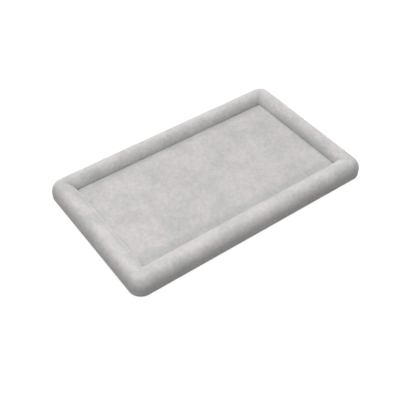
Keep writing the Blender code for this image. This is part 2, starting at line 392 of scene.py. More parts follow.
def settled(grid, held, loose):
    """How far a stretched ring of cloth moves as it settles over its padding, on its grid.

    A short cloth simulation: the sheet is held at the points marked, is cut larger by its
    looseness, and is pushed outwards. A movement m is then eased to m / sqrt(1 + (m / most)^2).
    """
    f = folds()
    mesh = bpy.data.meshes.new("cloth_trial")
    places = CLOTH_SCALE * grid.reshape(-1, 3)
    mesh.from_pydata(places.tolist(), [], ring_quads(numbered(grid)).tolist())
    trial = bpy.data.objects.new("cloth_trial", mesh)
    scene = bpy.context.scene
    scene.collection.objects.link(trial)
    trial.vertex_groups.new(name="held").add(np.flatnonzero(held).tolist(), 1.0, "REPLACE")
    looser = trial.vertex_groups.new(name="loose")
    for step in range(1, LOOSE_STEPS + 1):
        near = np.flatnonzero(np.round(LOOSE_STEPS * loose) == step)
        looser.add(near.tolist(), step / LOOSE_STEPS, "REPLACE")
    cloth = trial.modifiers.new("Cloth", "CLOTH")
    cloth.point_cache.frame_end = CLOTH_FRAMES
    settings = cloth.settings
    settings.vertex_group_mass = "held"
    settings.vertex_group_shrink = "loose"
    settings.shrink_min = 0.0
    settings.shrink_max = -f.cloth_looseness
    settings.use_pressure = True
    settings.uniform_pressure_force = f.cloth_push
    settings.effector_weights.gravity = 0.0
    for moment in range(1, CLOTH_FRAMES + 1):
        scene.frame_set(moment)
    done = trial.evaluated_get(bpy.context.evaluated_depsgraph_get())
    places = np.empty(grid.size, np.float32)
    done.data.vertices.foreach_get("co", places)
    scene.frame_set(1)
    bpy.data.objects.remove(trial)
    bpy.data.meshes.remove(mesh)
    moved = places.reshape(grid.shape) / CLOTH_SCALE - grid
    size = np.linalg.norm(moved, axis=-1, keepdims=True)
    return moved / np.sqrt(1 + (size / f.cloth_most) ** 2)


def piece_of(name, points, quads, material, replaced):
    """Makes the object of a mesh, which rides on the frame and stands for one of its nodes."""
    mesh = bpy.data.meshes.new(name)
    mesh.from_pydata(points.tolist(), [], quads.tolist())
    if mesh.validate():
        raise RuntimeError(f"{name}: the mesh has faces that don't hold up")
    mesh.shade_smooth()
    mesh.materials.append(material)
    made = bpy.data.objects.new(name, mesh)
    bpy.context.scene.collection.objects.link(made)
    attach(made, "root")
    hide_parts(replaced)
    return made


def marked(made, nap):
    """Keeps the painted light and shade at each vertex, for the material."""
    attribute = made.data.attributes.new("painted_light_shade", "FLOAT", "POINT")
    attribute.data.foreach_set("value", nap.astype(np.float32).ravel())


def thickened(made, thickness):
    """Gives a sheet its thickness, on the side away from its face."""
    solid = made.modifiers.new("Thickness", "SOLIDIFY")
    solid.thickness = thickness
    solid.offset = -1
    solid.use_even_offset = True


class Shading:
    """The nodes of a material or world being built: each call adds one and links its inputs."""

    def __init__(self, owner):
        owner.use_nodes = True
        self.owner = owner
        self.tree = owner.node_tree

    def put(self, socket, value):
        """Links an output to a socket, or sets the socket's own value."""
        if isinstance(value, bpy.types.NodeSocket):
            self.tree.links.new(value, socket)
        else:
            socket.default_value = value

    def node(self, kind, inputs=None, **settings):
        """A new node's outputs: its settings are made first, then its inputs are given."""
        made = self.tree.nodes.new("ShaderNode" + kind)
        for setting, value in settings.items():
            setattr(made, setting, value)
        for socket, value in (inputs or {}).items():
            self.put(made.inputs[socket], value)
        return made.outputs

    def place(self):
        """Where a point lies in the object's own frame."""
        return self.node("TexCoord")["Object"]

    def noise(self, length, detail=2.0, roughness=0.5, stretch=None, turn=0.0):
        """Noise whose blotches are about this long, from 0 to 1."""
        place = self.place()
        if stretch:
            mapping = {"Vector": place, "Scale": [1 / part for part in stretch],
                       "Rotation": (0, 0, turn)}
            place = self.node("Mapping", mapping, vector_type="TEXTURE")["Vector"]
        return self.node("TexNoise", {
            "Vector": place, "Scale": 1 / length, "Detail": detail, "Roughness": roughness})["Fac"]

    def cells(self, length):
        """Distance from the nearest of scattered points about this far apart."""
        return self.node("TexVoronoi", {"Vector": self.place(), "Scale": 1 / length})["Distance"]

    def spread(self, value, low, high, to_low=0.0, to_high=1.0):
        """Maps a range of a value to another range, smoothly."""
        inputs = dict(enumerate((value, low, high, to_low, to_high)))
        return self.node("MapRange", inputs, interpolation_type="SMOOTHSTEP")["Result"]

    def math(self, operation, first, second):
        """Two values worked out into one."""
        return self.node("Math", {0: first, 1: second}, operation=operation)["Value"]

    def mixed(self, share, first, second, blend="MIX"):
        """Two colours mixed by a share."""
        made = self.tree.nodes.new("ShaderNodeMix")
        made.data_type = "RGBA"
        made.blend_type = blend
        for socket, given in zip([s for s in made.inputs if s.enabled], (share, first, second)):
            self.put(socket, given)
        return next(s for s in made.outputs if s.enabled)

    def times(self, colour, factor):
        """A colour times a value."""
        return self.mixed(1.0, colour, factor, "MULTIPLY")

    def bump(self, height, strength, distance, **under):
        """The normals of a height, over those of another bump, given as Normal."""
        inputs = {"Height": height, "Strength": strength, "Distance": distance, **under}
        return self.node("Bump", inputs)["Normal"]

    def done(self, inputs, last="Principled BSDF"):
        """Gives the last node its inputs, and returns the material or world."""
        for socket, value in inputs.items():
            self.put(self.tree.nodes[last].inputs[socket], value)
        return self.owner


def opaque(colour, brighter=1.0):
    """A colour made brighter, for a socket."""
    return (*(min(1.0, part * brighter) for part in colour), 1.0)


# The suede's patterns: their shares in how warm it is, the range of the sum over which it turns
# from cool to warm, and how much lighter and darker each of them makes it
WARMTH_SHARES = {"patches": 0.55, "clouds": 0.28, "tufts": 0.17}
WARMTH_RANGE = (0.400, 0.560)
FLECK_DEPTHS = {"clouds": 0.075, "tufts": 0.075, "strokes": 0.025, "grain": 0.04}

# Where the painted shade is as dark as this, the suede is all cool: the painted shade is a cool
# one
COOL_PAINTED_SHADE = -0.8


def suede_material(name):
    """Short-napped suede: warm and cool patches, clouds, tufts brushed one way, and a grain.

    The lighter clouds and tufts are the warmer ones. Painted light and shade from the mesh's
    values make it lighter and darker, and cool where the painted shade is dark, and a painted
    sheen makes it lighter at glancing angles.
    """
    look = finish()
    shading = Shading(bpy.data.materials.new(name))
    patterns = {
        "patches": shading.noise(look.patch_length),
        "clouds": shading.noise(look.cloud_length),
        "tufts": shading.noise(look.tuft_length, detail=2.5, roughness=0.55),
        "strokes": shading.noise(
            length=0.9 * MM, detail=1.0, stretch=(1.0, 0.18, 1.0), turn=look.brushing),
        "grain": shading.noise(look.grain_length, detail=1.0)}
    warmth, *others = [
        shading.math("MULTIPLY", patterns[part], share) for part, share in WARMTH_SHARES.items()]
    for other in others:
        warmth = shading.math("ADD", warmth, other)
    warmth = shading.spread(warmth, *WARMTH_RANGE)
    # The painted light and shade kept on the mesh: above 0 painted highlight, below 0 painted
    # shade
    lie = shading.node("Attribute", attribute_name="painted_light_shade")["Fac"]
    # The suede turns cool where the painted shade is dark
    warmth = shading.math("MULTIPLY", warmth, shading.spread(lie, COOL_PAINTED_SHADE, 0.0))
    colour = shading.mixed(warmth, opaque(look.suede_cool), opaque(look.suede_warm))
    for part, depth in FLECK_DEPTHS.items():
        fleck = shading.spread(patterns[part], 0.2, 0.8, 1 - depth, 1 + depth)
        colour = shading.times(colour, fleck)
    # Painted light and shade: lighter above 0, darker below
    painted_light_change = shading.math("MULTIPLY", lie, look.painted_light_gain)
    colour = shading.times(colour, shading.math("ADD", painted_light_change, 1.0))
    # Painted sheen at glancing angles
    facing = shading.node("LayerWeight")["Facing"]
    painted_sheen = shading.spread(facing, 0.3, 0.95, 1.0, 1 + look.painted_sheen)
    raised = shading.bump(patterns["tufts"], 0.35, 0.10 * MM)
    return shading.done({
        "Base Color": shading.times(colour, painted_sheen), "Roughness": 0.95,
        "Specular IOR Level": 0.15, "Sheen Weight": look.sheen, "Sheen Roughness": 0.55,
        "Sheen Tint": (1.0, 0.98, 0.97, 1.0),
        "Normal": shading.bump(patterns["grain"], 0.5, 0.05 * MM, Normal=raised)})


def felt_material(name):
    """Pressed felt: matted fibres in all directions, with faint clouds."""
    felt = finish().felt
    shading = Shading(bpy.data.materials.new(name))
    clouds = shading.spread(shading.noise(length=7 * MM, detail=3.0), 0.3, 0.7)
    fibres, crossing = (
        shading.noise(length=0.3 * MM, detail=4.0, roughness=0.7, stretch=stretch)
        for stretch in ((0.25, 1, 1), (1, 0.25, 1)))
    matted = shading.math("MAXIMUM", fibres, crossing)
    colour = shading.mixed(clouds, opaque(felt, 0.94), opaque(felt, 1.05))
    fleck = shading.spread(matted, 0.40, 0.75, 0.86, 1.10)
    return shading.done({
        "Base Color": shading.times(colour, fleck), "Roughness": 0.95,
        "Specular IOR Level": 0.2, "Sheen Weight": 0.1,
        "Normal": shading.bump(matted, 0.7, 0.12 * MM)})


def sponge_material(name):
    """Fine open-celled sponge: pores painted darker as shade in the holes, between thin walls."""
    sponge = finish().sponge
    shading = Shading(bpy.data.materials.new(name))
    walls = shading.spread(shading.cells(length=0.55 * MM), 0.15, 0.55)
    # The pores get a painted shade
    colour = shading.mixed(walls, opaque(sponge, 0.72), opaque(sponge, 1.04))
    fleck = shading.spread(shading.noise(length=5 * MM), 0.3, 0.7, 0.95, 1.03)
    return shading.done({
        "Base Color": shading.times(colour, fleck), "Roughness": 0.9,
        "Subsurface Weight": 0.15, "Subsurface Radius": (1.0, 0.9, 0.7),
        "Subsurface Scale": 0.6 * MM, "Normal": shading.bump(walls, 0.8, 0.15 * MM)})


def fibreboard_material(name):
    """Medium-density fibreboard: short fibres pressed flat, lighter and darker."""
    board = finish().fibreboard
    shading = Shading(bpy.data.materials.new(name))
    fibres = shading.noise(length=0.5 * MM, detail=4.0, roughness=0.7, stretch=(0.3, 0.6, 1.6))
    shade = shading.spread(fibres, 0.32, 0.70)
    colour = shading.mixed(shade, opaque(board, 0.72), opaque(board, 1.22))
    fleck = shading.spread(shading.noise(length=9 * MM), 0.3, 0.7, 0.93, 1.05)
    return shading.done({
        "Base Color": shading.times(colour, fleck),
        "Roughness": shading.spread(shade, 0, 1, 0.86, 0.72),
        "Normal": shading.bump(fibres, 0.4, 0.06 * MM)})


def greyboard_material(name):
    """Recycled greyboard: mottled pulp with scattered dark specks."""
    board = finish().greyboard
    shading = Shading(bpy.data.materials.new(name))
    pulp = shading.noise(length=1.2 * MM, detail=5.0, roughness=0.65)
    between_specks = shading.spread(shading.cells(length=1.6 * MM), 0.06, 0.16)
    shade = shading.spread(pulp, 0.3, 0.7)
    colour = shading.mixed(shade, opaque(board, 0.84), opaque(board, 1.14))
    return shading.done({
        "Base Color": shading.mixed(between_specks, opaque(board, 0.5), colour),
        "Roughness": 0.88, "Normal": shading.bump(pulp, 0.35, 0.08 * MM)})


def roll_centre():
    """The middle of the roll's round top in its section: (inset, height)."""
    return np.array((sizes().rim_width / 2, COVER_HIGH.z - sizes().rim_rise))


def rim_cover_section():
    """The visible face of the rim's cover, from the hem, over the roll, to the tucked flange."""
    s = sizes()
    hem_bottom = COVER_LOW.z
    edge = arc((s.edge_radius, hem_bottom + s.edge_radius), s.edge_radius, DOWN, OUTWARD, 7)
    middle, radii = roll_centre(), (s.rim_width / 2, s.rim_rise)
    crest = np.concatenate(
        [arc(middle, radii, OUTWARD, UP, 18), arc(middle, radii, UP, INWARD, 36)[1:]])
    bend_centre = (s.rim_width + s.flange_bend, s.flange_top + s.flange_bend)
    return section(
        (s.hem_width, hem_bottom), (edge, 12), (crest, 6),
        (arc(bend_centre, s.flange_bend, OUTWARD, DOWN, 4), 3),
        ((s.rim_width + s.flange_width, s.flange_top), 5))


def from_mitre(grid):
    """Distance from the nearest corner's diagonal: the difference of the two insets."""
    inset_x = LENGTH / 2 - np.abs(grid[..., 0])
    inset_y = WIDTH / 2 - np.abs(grid[..., 1])
    return np.abs(inset_x - inset_y)


# The shares of the roll's width over which its inner side begins, and how high over the flange
# its folds have faded in
INNER_SIDE = (0.42, 0.80)
FOLD_FADE = 1 * MM


def inner_half(stations):
    """1 on the roll's inner side, easing to 0 at its crown and at the end of its foot."""
    inner = smooth_step(stations[:, :1] / sizes().rim_width, *INNER_SIDE)
    return inner * smooth_step(stations[:, 1:] - sizes().flange_top, 0, FOLD_FADE)


# How deep the fold at each inner corner is, and how strong its painted shade, against the deepest:
# by its side in x and in y
FOLD_SHARES = {(-1, 1): 1.0, (1, 1): 0.4, (1, -1): 0.15, (-1, -1): 0.4}
FOLD_ROUNDING = 0.3 * MM


def creased(grid):
    """The folds at the inner corners: share x exp(-distance / width) beside each of them."""
    softened = np.sqrt(from_mitre(grid) ** 2 + FOLD_ROUNDING ** 2)
    share = sum(
        part * ((grid[..., 0] * x > 0) & (grid[..., 1] * y > 0))
        for (x, y), part in FOLD_SHARES.items())
    return share * np.exp(-softened / folds().crease_width)


# The left roll's shoulder: where its crease grows deeper towards the back, as shares of the
# tray's width from its middle, and how far from the mitre it fades in
SHOULDER_GROWTH = (-0.3, 0.1)
SHOULDER_FADE = (0.5 * MM, 6 * MM)


def along_shoulder(grid, stations, angle, width):
    """1 along a line on the left roll's inner shoulder, and less beside it.

    A bell of the distance round the roll from the line's angle, which fades out towards the
    corners, and is half as much at the front.
    """
    inset, height = (stations - roll_centre()).T
    across = bell((np.arctan2(height, inset) - angle) * sizes().rim_rise, width)
    past_mitre = (WIDTH / 2 - np.abs(grid[..., 1])) - (LENGTH / 2 + grid[..., 0])
    towards_back = 0.5 + 0.5 * smooth_step(grid[..., 1] / WIDTH, *SHOULDER_GROWTH)
    return across[:, None] * towards_back * smooth_step(past_mitre, *SHOULDER_FADE)


def shoulder_crease(grid, stations):
    """1 in the shallow crease along the left roll's inner shoulder."""
    return along_shoulder(grid, stations, folds().shoulder_angle, folds().shoulder_width)


# Each edge of the pad: its share of the sink, and the painted shade beside it (painted light where
# below 0): how dark, how far from the edge its middle lies, and its width from there
PAD_EDGES = {
    "front": (0.0, 1.1, 3.5 * MM, 4.0 * MM),
    "right": (0.45, 1.1, 0.0, 2.4 * MM),
    "back": (0.6, 1.4, 0.0, 4.2 * MM),
    "left": (0.1, -0.1, 0.0, 1.5 * MM),
}

# Painted highlight on each roll's crown, and painted shade at its inner foot
ROLL_PAINTED_LIGHT_AND_SHADE = {"front": (1.4, 0.2), "right": (1.0, 1.0), "back": (0.8, 0.6), "left": (1.15, 0.0)}

# Painted shade near some ends of the rolls, painted light where below 0: the side, its first (-1)
# or last (1) end counter-clockwise, the painted shade on the crown and at the foot, and that
# shade's middle and width as distances from the mitre
ROLL_END_PAINTED_SHADE = (
    ("front", 1, -0.9, 0.0, 0.0, 12 * MM),
    ("right", -1, -0.9, 0.0, 0.0, 7 * MM),
    ("right", 1, -0.8, -1.5, 4 * MM, 14 * MM),
    ("back", 1, 1.1, 0.0, 16 * MM, 9 * MM),
    ("left", -1, 1.3, 0.0, 12 * MM, 8 * MM),
)

# The bands of painted light and shade on a roll, in degrees of lean outwards from upright: their
# middle and width
CROWN_BAND, TOP_BAND, FOOT_BAND = (14, 36), (-10, 40), (-68, 28)

# How far the values of two sides run into each other round a corner
SIDE_BLEND = 2 * MM


def of_nearest_side(grid, values, part):
    """A value of the side that each point of a roll belongs to, blended round the corners.

    The mean of the sides' values, each weighted by exp(-inset from that side / blend).
    """
    total, counted = 0.0, 0.0
    for side in SIDES:
        half = LENGTH / 2 if SIDES[side][0] else WIDTH / 2
        weight = np.exp((grid[..., :2] @ np.array(SIDES[side]) - half) / SIDE_BLEND)
        total, counted = total + values[side][part] * weight, counted + weight
    return total / counted


# How high over the flange the pad starts to press the roll, and presses it in full
PRESS_START = (0.6 * MM, 2.4 * MM)


def pressed_in(grid, stations):
    """How deep the roll is drawn in by its folds and creases, and pressed by the pad.

    The pad presses up to its edge: its plane less the sink of that side.
    """
    s, f = sizes(), folds()
    inset, height = stations[:, :1], stations[:, 1:]
    beside_pad = smooth_step(height - s.flange_top, *PRESS_START)
    edge_height = PAD_HIGH.z - f.pad_sink * of_nearest_side(grid, PAD_EDGES, 0)
    over_edge = smooth_step(height - edge_height, -s.pad_edge, s.pad_edge)
    pressed = s.pad_press * beside_pad * (1 - over_edge) * (inset > s.rim_width / 2)
    folded = f.crease_depth * inner_half(stations) * creased(grid)
    return pressed + folded + f.shoulder_depth * shoulder_crease(grid, stations)


# How high over the hem the waves begin, and the shares of the roll's width over which the cover
# comes to the pad
WAVE_START = (1 * MM, 4 * MM)
TO_PAD = (0.90, 0.94)


def draped(grid, stations):
    """How far the rim's cover stands off its plain section, along its normals.

    Waves of unevenness, plus a cosine of the distance from the mitre that fades on the roll's
    inner half, less the depth that it is pressed in.
    """
    f = folds()
    distance = from_mitre(grid)
    pucker = np.cos(2 * np.pi * distance / f.pucker_length) * np.exp(-distance / f.pucker_reach)
    uneven = f.unevenness * waves(grid, f.unevenness_length, seed=3)
    on_roll = smooth_step(stations[:, 1:] - COVER_LOW.z, *WAVE_START)
    clear_of_pad = 1 - smooth_step(stations[:, :1] / sizes().rim_width, *TO_PAD)
    free = uneven * on_roll + f.pucker_height * inner_half(stations) * pucker
    return free * clear_of_pad - pressed_in(grid, stations)


# The cloth: how high over the hem it starts, the share of the roll's width where it ends, and
# how near the mitre it is held in a fold
CLOTH_FOOT = 3 * MM
CLOTH_END = 0.93
CLOTH_FOLD = 0.4 * MM


def rim_settled(grid, stations):
    """How far the rim's cover moves as it settles, from its outer face over to the pad.

    It is held at both ends and in the folds at the inner corners, and is loose beside them.
    The cloth has every second column; the columns between are the mean of their neighbours.
    """
    inset, height = stations.T
    free = (height > COVER_LOW.z + CLOTH_FOOT) & (inset < CLOTH_END * sizes().rim_width)
    first, last = np.flatnonzero(free)[[0, -1]]
    rows = slice(first, last + 1)
    part = grid[rows, ::2]
    distance = from_mitre(part)
    held = (distance < CLOTH_FOLD) & (inner_half(stations)[rows] > 0.5)
    held[[0, 1, -2, -1]] = True
    moved = settled(part, held, np.exp(-distance / folds().cloth_reach))
    full = np.zeros_like(grid)
    full[rows, ::2] = moved
    full[rows, 1::2] = (moved + np.roll(moved, -1, 1)) / 2
    return full


def beside_roll():
    """The pad's flank beside a roll: (the roll's centre, the flank's radius, where it ends)."""
    s = sizes()
    roll = roll_centre()
    radius = s.rim_rise - s.pad_press + s.pad_clearance
    turn = math.asin((PAD_HIGH.z - roll[1] - s.pad_edge) / (radius + s.pad_edge))
    return roll, radius, turn


# Where the pad's flank starts, up from the roll's middle, and the width of its face's finer rim
FLANK_FOOT = math.radians(4)
FACE_RIM = 6 * MM


def pad_cover_section():
    """The floor cover's section: its side within, from the face to the hem, and its visible side.

    The inner side lies a thickness in: the fold's radius is less by it, the flank's is more by
    it, and the face is lower by it, so that flank and face meet in a corner.
    """
    s = sizes()
    bottom, top, depth = PAD_LOW.z, PAD_HIGH.z, s.cover_thickness
    roll, radius, turn = beside_roll()
    fold = (PAD_INSET + s.pad_fold, bottom + s.pad_fold)
    centre = roll + (radius + s.pad_edge) * np.array((math.cos(turn), math.sin(turn)))
    hem, face = PAD_INSET + s.pad_hem, centre[0] + FACE_RIM
    visible = section(
        (hem, bottom), (arc(fold, s.pad_fold, DOWN, OUTWARD, 6), 6),
        (arc(roll, radius, FLANK_FOOT, turn, 8), 3),
        (arc(centre, s.pad_edge, OUTWARD + turn, UP, 6)[1:], 1), ((face, top), 24))
    corner = math.asin((top - depth - roll[1]) / (radius + depth))
    within = section(
        (hem, bottom + depth), (arc(fold, s.pad_fold - depth, DOWN, OUTWARD, 6), 6),
        (arc(roll, radius + depth, FLANK_FOOT, corner, 8), 3), ((face, top - depth), 24))
    return section(within[::-1], (visible, 1))


def from_pad_edge(points, side):
    """Distance of points from one upper edge of the pad, into the tray."""
    roll, radius, turn = beside_roll()
    half = LENGTH / 2 if SIDES[side][0] else WIDTH / 2
    edge = half - roll[0] - radius * math.cos(turn)
    return np.maximum(edge - points[:, :2] @ np.array(SIDES[side]), 0)


# The heights between which the pad's sides come to follow its face
FACE_FADE = (PAD_LOW.z + 1.5 * MM, PAD_HIGH.z - 0.4 * MM)


def pad_face(points):
    """How far the pad's face is moved off its plane, as vectors.

    It sinks at its edges by sink x (1 - the product of 1 - share x exp(-distance / width)), and
    has waves. A point that sinks at an edge also moves along the roll: by the roll's half width
    at its old height less that at its new one. All of it fades down the pad's sides.
    """
    f = folds()
    near = {side: np.exp(-from_pad_edge(points, side) / f.pad_sink_width) for side in SIDES}
    level = np.prod([1 - PAD_EDGES[side][0] * near[side] for side in SIDES], axis=0)
    height = points[:, 2]
    face = smooth_step(height, *FACE_FADE)
    rise = -face * f.pad_sink * (1 - level)
    roll, radius, turn = beside_roll()
    outward = (np.sqrt(radius ** 2 - (height - roll[1]) ** 2)
               - np.sqrt(radius ** 2 - (height + rise - roll[1]) ** 2))
    moved = np.zeros_like(points)
    moved[:, 2] = rise + face * f.unevenness * waves(points, f.unevenness_length, seed=8)
    for side in SIDES:
        moved[:, :2] += (outward * near[side])[:, None] * np.array(SIDES[side])
    return moved


def pad_painted_shade(points):
    """Painted shade on the floor pad beside the rolls, below 0.

    Less the length of the four edges' shades, each a shade times a bell of the distance from
    its middle: the root of the sum of their squares, so that they don't add up in the corners.
    """
    shades = np.stack([
        shade * bell(from_pad_edge(points, side) - middle, width)
        for side, (_, shade, middle, width) in PAD_EDGES.items()])
    return -np.sign(shades.sum(0)) * np.linalg.norm(shades, axis=0)


def end_painted_shade(grid, part):
    """Painted shade near the rolls' ends, painted light where below 0, on the crown (0) or at the
    foot (1).

    Each end's shade times a bell of the distance from the shade's middle, on its own side.
    """
    total = np.zeros(grid.shape[:2])
    for side, end, *shades, middle, width in ROLL_END_PAINTED_SHADE:
        along = end * np.array((-SIDES[side][1], SIDES[side][0]))
        on_side = of_nearest_side(grid, {name: [float(name == side)] for name in SIDES}, 0)
        near_end = bell(from_mitre(grid) - middle, width) * (grid[..., :2] @ along > 0)
        total += shades[part] * near_end * on_side
    return total


def painted_light_shade(grid, stations):
    """Painted light and shade on the rim: above 0 a painted highlight, below 0 painted shade.

    A painted highlight in a bell on the roll's crown, less painted shade in a bell at its inner
    foot, painted shade or light in a bell round its top near its ends, painted shade in the folds
    at the inner corners and in the left roll's crease, plus a painted highlight on the ridge
    beside it.
    """
    f = folds()
    inset, height = np.hsplit(stations - roll_centre(), 2)
    lean = np.arctan2(-inset, height)
    crown, top, foot = (
        bell(lean - math.radians(middle), math.radians(width))
        for middle, width in (CROWN_BAND, TOP_BAND, FOOT_BAND))
    # A painted highlight on the crown, and painted light and shade near the ends
    light = crown * of_nearest_side(grid, ROLL_PAINTED_LIGHT_AND_SHADE, 0) - top * end_painted_shade(grid, 0)
    # A painted highlight line; the ridge has no shape of its own
    ridge = along_shoulder(grid, stations, f.ridge_angle, f.ridge_width)
    # Painted shade at the inner foot, in the folds and in the crease
    dark = foot * (of_nearest_side(grid, ROLL_PAINTED_LIGHT_AND_SHADE, 1) + end_painted_shade(grid, 1))
    dark = dark + f.fold_painted_shade * inner_half(stations) * creased(grid)
    dark = dark + f.shoulder_painted_shade * shoulder_crease(grid, stations)
    return light + f.ridge_painted_highlight * ridge - dark


# How far from the corner's centre the pleats fade in, and how high over the hem they end
PLEAT_FADE = (2 * MM, 6 * MM)
PLEAT_END = 1.5 * MM


def hem_gathers(grid, stations):
    """Pleats of the hem at the rounded corners: a cosine of the angle round the corner.

    They fade out towards the corner's centre, where the angle turns quickly.
    """
    s, f = sizes(), folds()
    past_x = np.maximum(np.abs(grid[..., 0]) - LENGTH / 2 + s.corner_radius, 0)
    past_y = np.maximum(np.abs(grid[..., 1]) - WIDTH / 2 + s.corner_radius, 0)
    quarter = np.arctan2(past_y, past_x) / (np.pi / 2)
    pleat = 0.5 - 0.5 * np.cos(2 * np.pi * f.gather_count * quarter)
    spread = smooth_step(np.hypot(past_x, past_y), *PLEAT_FADE)
    under = 1 - smooth_step(stations[:, 1:] - COVER_LOW.z, 0, PLEAT_END)
    return f.gather_height * pleat * spread * under


# The sponge's own unevenness: its height and its wavelength
SPONGE_WAVES = (0.03 * MM, 4 * MM)


def strip_grid(side):
    """A sponge strip's points: its outer face, pressed in by the cover's folds, and its inner."""
    s = sizes()
    foot = STRIP_LOW.z
    stations = []
    for depth in (STRIP_INSET, STRIP_INSET + s.padding_thickness):
        radii = (s.rim_width / 2 - depth, s.rim_rise - depth)
        crest = arc(roll_centre(), radii, OUTWARD, INWARD, 24)
        stations.append(section((depth, foot), (crest, 4), ((s.rim_width - depth, foot), 4)))
    outer, inner = (side_grid(side, part, trim=s.glue_line) for part in stations)
    through = inner - outer
    through /= np.linalg.norm(through, axis=-1, keepdims=True)
    beside_fold = inner_half(stations[0]) * np.sqrt(creased(outer))
    press = pressed_in(outer, stations[0]) + folds().fold_room * beside_fold
    return np.concatenate([outer + press[..., None] * through, inner[::-1]])


def strip_quads(index):
    """The quads of a strip, whose last row meets its first, with its two ends filled."""
    half = len(index) // 2
    quads = [grid_quads(np.concatenate([index, index[:1]]))]
    for column, turn in ((0, 1), (-1, -1)):
        end = np.stack([index[:half, column], index[half:, column][::-1]])
        quads.append(grid_quads(end)[:, ::turn])
    return np.concatenate(quads)


def sponge_strip(side, sponge, seed):
    """A sponge strip over one rail, slightly uneven, and flat at its foot."""
    grid = strip_grid(side)
    points = grid.reshape(-1, 3)
    height, wavelength = SPONGE_WAVES
    points = points + height * np.stack([waves(points, wavelength, seed + k) for k in range(3)], 1)
    points[:, 2] = np.maximum(points[:, 2], STRIP_LOW.z)
    strip = piece_of(
        "sponge_strip_" + side, points, strip_quads(numbered(grid)), sponge,
        "rim_foam_" + side)


def sponge_floor(sponge):
    """The sheet of sponge on the floor board, which takes the shape of the pad's face."""
    low, high, inset = FLOOR_FOAM_LOW.z, FLOOR_FOAM_HIGH.z, FLOOR_FOAM_INSET
    radius, flat = sizes().sponge_edge, inset + FLAT_RIM
    edge = arc((inset + radius, high - radius), radius, OUTWARD, UP, 6)
    points, quads = sheet_mesh(
        section((flat, low), ((inset, low), 4), (edge, 3), ((flat, high), 4)))
    floor = piece_of(
        "sponge_floor", points + pad_face(points), quads, sponge, "floor_foam")


class DISPLAY_TRAY_OT_rim_cover(bpy.types.Operator):
    """Suede over the rim: its section carried round the tray's rounded rectangle"""

    bl_idname = "mesh.display_tray_rim_cover"
    bl_label = "Rim Cover"

    def execute(self, context):
        stations = rim_cover_section()
        grid = ring_grid(stations)
        lift = draped(grid, stations) + hem_gathers(grid, stations)
        grid = grid + lift[..., None] * grid_normals(grid)
        grid = grid + rim_settled(grid, stations)
        cover = piece_of(
            "suede_rim_cover", grid.reshape(-1, 3), ring_quads(numbered(grid)),
            suede_material("suede_rim"), "rim_cover")
        # The painted light and shade on the rim, for the material
        marked(cover, painted_light_shade(grid, stations))
        thickened(cover, sizes().cover_thickness)
        runs = np.linalg.norm(np.diff(stations, axis=0), axis=1)
        to_crown = runs[:stations[:, 1].argmax()].sum()
        return {"FINISHED"}


class DISPLAY_TRAY_OT_floor_cover(bpy.types.Operator):
    """Suede over the floor pad, turned under its board"""

    bl_idname = "mesh.display_tray_floor_cover"
    bl_label = "Floor Pad Cover"

    def execute(self, context):
        points, quads = sheet_mesh(pad_cover_section())
        cover = piece_of(
            "suede_floor_cover", points + pad_face(points), quads,
            suede_material("suede_floor"), "floor_cover")
        # The painted shade beside the rolls, for the material
        marked(cover, pad_painted_shade(points))
        return {"FINISHED"}


class DISPLAY_TRAY_OT_padding(bpy.types.Operator):
    """Sponge strips bent over the rails, and the sheet of sponge on the floor board"""

    bl_idname = "mesh.display_tray_padding"
    bl_label = "Sponge Padding"

    def execute(self, context):
        sponge = sponge_material("sponge")
        for number, side in enumerate(SIDES):
            sponge_strip(side, sponge, seed=20 + 3 * number)
        sponge_floor(sponge)
        return {"FINISHED"}


class DISPLAY_TRAY_OT_lining(bpy.types.Operator):
    """Felt underneath: flat on the hem and pressed up to the base board in the middle"""

    bl_idname = "mesh.display_tray_lining"
    bl_label = "Felt Lining"

    def execute(self, context):
        s = sizes()
        climb = LINING_HIGH.z - s.lining_thickness
        start = s.hem_width + s.glue_line
        share = np.linspace(0, 1, 9)
        slope = np.stack([start + s.lining_slope * share, climb * smooth_step(share, 0, 1)], 1)
        flat = start + s.lining_slope + FLAT_RIM
        lower = section((LINING_INSET, 0.0), (slope, 8), ((flat, climb), 3))
        points, quads = sheet_mesh(section(lower[::-1], (lower + (0.0, s.lining_thickness), 2)))
        lining = piece_of(
            "felt_lining", points, quads, felt_material("felt"), "bottom_lining")
        return {"FINISHED"}


class DISPLAY_TRAY_OT_boards(bpy.types.Operator):
    """Board and fibreboard finishes for the frame's rigid nodes, whose shapes stay"""

    bl_idname = "mesh.display_tray_boards"
    bl_label = "Boards and Rails"

    def execute(self, context):
        finishes = {
            greyboard_material("greyboard"): ["base_board", "floor_board"],
            fibreboard_material("fibreboard"): ["rim_rail_" + side for side in SIDES]}
        for material, names in finishes.items():
            for name in names:
                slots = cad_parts[name].data.materials
                slots.clear()
                slots.append(material)
        return {"FINISHED"}


def seen_by_camera(shading):
    """1 for rays from the camera, a reflection or a clear surface, and 0 for the others."""
    path = shading.node("LightPath")
    seen = shading.math("MAXIMUM", path["Is Camera Ray"], path["Is Glossy Ray"])
    return shading.math("MAXIMUM", seen, path["Is Transmission Ray"])


def floor_material(stage):
    """White to the camera, less a faint shadow, and a plain grey to the tray."""
    shading = Shading(bpy.data.materials.new("stage_floor"))
    shading.tree.nodes.remove(shading.tree.nodes["Principled BSDF"])
    plain, shaded = (
        shading.node("BsdfDiffuse", {"Color": opaque(colour)})[0]
        for colour in (stage.floor_colour, (stage.shadow_share,) * 3))
    white = shading.node("Emission", {"Strength": 1.0 - 0.5 * stage.shadow_share})[0]
    seen = shading.node("AddShader", {0: white, 1: shaded})[0]
    chosen = shading.node("MixShader", {0: seen_by_camera(shading), 1: plain, 2: seen})[0]
    return shading.done({"Surface": chosen}, last="Material Output")


